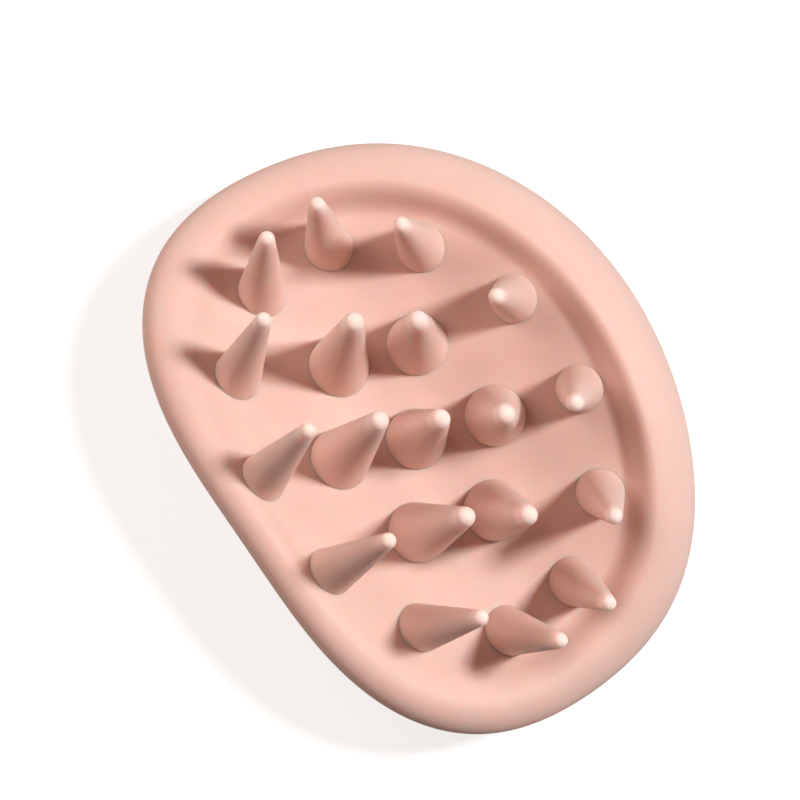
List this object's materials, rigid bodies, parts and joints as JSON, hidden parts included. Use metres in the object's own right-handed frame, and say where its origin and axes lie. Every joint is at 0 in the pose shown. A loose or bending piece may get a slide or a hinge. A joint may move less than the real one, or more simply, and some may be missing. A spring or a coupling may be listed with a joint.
{
  "type": "soft palm brush",
  "caption": "Oval palm-sized silicone bath and massage brush with a rolled rim and flexible round-tipped cones in a shallow bowl.",
  "frame": {"origin": "under the middle of the body, on the surface it rests on", "axes": "+X along the long axis of the oval, +Y along the short axis away from the palm's heel, +Z the way the cones point"},
  "size_m": [0.109, 0.0824, 0.0451],
  "materials": {
    "silicone": "soft matt moulded silicone"
  },
  "bodies": {
    "brush_body": {"rim": "silicone", "dish": "silicone", "palm_grip": "silicone"},
    "cone_middle": {"cone_middle": "silicone"},
    "cone_inner_1": {"cone_inner_1": "silicone"},
    "cone_inner_2": {"cone_inner_2": "silicone"},
    "cone_inner_3": {"cone_inner_3": "silicone"},
    "cone_inner_4": {"cone_inner_4": "silicone"},
    "cone_inner_5": {"cone_inner_5": "silicone"},
    "cone_inner_6": {"cone_inner_6": "silicone"},
    "cone_outer_1": {"cone_outer_1": "silicone"},
    "cone_outer_2": {"cone_outer_2": "silicone"},
    "cone_outer_3": {"cone_outer_3": "silicone"},
    "cone_outer_4": {"cone_outer_4": "silicone"},
    "cone_outer_5": {"cone_outer_5": "silicone"},
    "cone_outer_6": {"cone_outer_6": "silicone"},
    "cone_outer_7": {"cone_outer_7": "silicone"},
    "cone_outer_8": {"cone_outer_8": "silicone"},
    "cone_outer_9": {"cone_outer_9": "silicone"},
    "cone_outer_10": {"cone_outer_10": "silicone"},
    "cone_outer_11": {"cone_outer_11": "silicone"},
    "cone_outer_12": {"cone_outer_12": "silicone"}
  },
  "joints": [
    {"name": "cone_middle_lean", "type": "hinge", "parent": "brush_body", "child": "cone_middle", "pos_m": [0.00073, -0.00437, 0.01109], "axis": [0, 1, 0], "range_deg": [-13, 13], "stiffness_Nm_per_rad": 0.027},
    {"name": "cone_inner_1_lean", "type": "hinge", "parent": "brush_body", "child": "cone_inner_1", "pos_m": [0.01893, -0.00069, 0.01152], "axis": [0, 1, 0], "range_deg": [-13, 13], "stiffness_Nm_per_rad": 0.027},
    {"name": "cone_inner_2_lean", "type": "hinge", "parent": "brush_body", "child": "cone_inner_2", "pos_m": [0.00561, 0.00935, 0.0125], "axis": [0, 1, 0], "range_deg": [-13, 13], "stiffness_Nm_per_rad": 0.027},
    {"name": "cone_inner_3_lean", "type": "hinge", "parent": "brush_body", "child": "cone_inner_3", "pos_m": [-0.0126, 0.00567, 0.01192], "axis": [0, 1, 0], "range_deg": [-13, 13], "stiffness_Nm_per_rad": 0.027},
    {"name": "cone_inner_4_lean", "type": "hinge", "parent": "brush_body", "child": "cone_inner_4", "pos_m": [-0.01748, -0.00804, 0.012], "axis": [0, 1, 0], "range_deg": [-13, 13], "stiffness_Nm_per_rad": 0.027},
    {"name": "cone_inner_5_lean", "type": "hinge", "parent": "brush_body", "child": "cone_inner_5", "pos_m": [-0.00415, -0.01808, 0.01428], "axis": [0, 1, 0], "range_deg": [-13, 13], "stiffness_Nm_per_rad": 0.027},
    {"name": "cone_inner_6_lean", "type": "hinge", "parent": "brush_body", "child": "cone_inner_6", "pos_m": [0.01406, -0.01441, 0.01323], "axis": [0, 1, 0], "range_deg": [-13, 13], "stiffness_Nm_per_rad": 0.027},
    {"name": "cone_outer_1_lean", "type": "hinge", "parent": "brush_body", "child": "cone_outer_1", "pos_m": [0.03714, 0.00298, 0.01331], "axis": [0, 1, 0], "range_deg": [-13, 13], "stiffness_Nm_per_rad": 0.012},
    {"name": "cone_outer_2_lean", "type": "hinge", "parent": "brush_body", "child": "cone_outer_2", "pos_m": [0.02738, 0.01572, 0.01573], "axis": [0, 1, 0], "range_deg": [-13, 13], "stiffness_Nm_per_rad": 0.012},
    {"name": "cone_outer_3_lean", "type": "hinge", "parent": "brush_body", "child": "cone_outer_3", "pos_m": [0.01048, 0.02307, 0.0185], "axis": [0, 1, 0], "range_deg": [-13, 13], "stiffness_Nm_per_rad": 0.012},
    {"name": "cone_outer_4_lean", "type": "hinge", "parent": "brush_body", "child": "cone_outer_4", "pos_m": [-0.00903, 0.02307, 0.0185], "axis": [0, 1, 0], "range_deg": [-13, 13], "stiffness_Nm_per_rad": 0.012},
    {"name": "cone_outer_5_lean", "type": "hinge", "parent": "brush_body", "child": "cone_outer_5", "pos_m": [-0.02593, 0.01572, 0.01573], "axis": [0, 1, 0], "range_deg": [-13, 13], "stiffness_Nm_per_rad": 0.012},
    {"name": "cone_outer_6_lean", "type": "hinge", "parent": "brush_body", "child": "cone_outer_6", "pos_m": [-0.03569, 0.00298, 0.01331], "axis": [0, 1, 0], "range_deg": [-13, 13], "stiffness_Nm_per_rad": 0.012},
    {"name": "cone_outer_7_lean", "type": "hinge", "parent": "brush_body", "child": "cone_outer_7", "pos_m": [-0.03569, -0.01172, 0.01427], "axis": [0, 1, 0], "range_deg": [-13, 13], "stiffness_Nm_per_rad": 0.012},
    {"name": "cone_outer_8_lean", "type": "hinge", "parent": "brush_body", "child": "cone_outer_8", "pos_m": [-0.02593, -0.02445, 0.01834], "axis": [0, 1, 0], "range_deg": [-13, 13], "stiffness_Nm_per_rad": 0.012},
    {"name": "cone_outer_9_lean", "type": "hinge", "parent": "brush_body", "child": "cone_outer_9", "pos_m": [-0.00903, -0.0318, 0.02207], "axis": [0, 1, 0], "range_deg": [-13, 13], "stiffness_Nm_per_rad": 0.012},
    {"name": "cone_outer_10_lean", "type": "hinge", "parent": "brush_body", "child": "cone_outer_10", "pos_m": [0.01048, -0.0318, 0.02207], "axis": [0, 1, 0], "range_deg": [-13, 13], "stiffness_Nm_per_rad": 0.012},
    {"name": "cone_outer_11_lean", "type": "hinge", "parent": "brush_body", "child": "cone_outer_11", "pos_m": [0.02738, -0.02445, 0.01834], "axis": [0, 1, 0], "range_deg": [-13, 13], "stiffness_Nm_per_rad": 0.012},
    {"name": "cone_outer_12_lean", "type": "hinge", "parent": "brush_body", "child": "cone_outer_12", "pos_m": [0.03714, -0.01172, 0.01427], "axis": [0, 1, 0], "range_deg": [-13, 13], "stiffness_Nm_per_rad": 0.012}
  ]
}
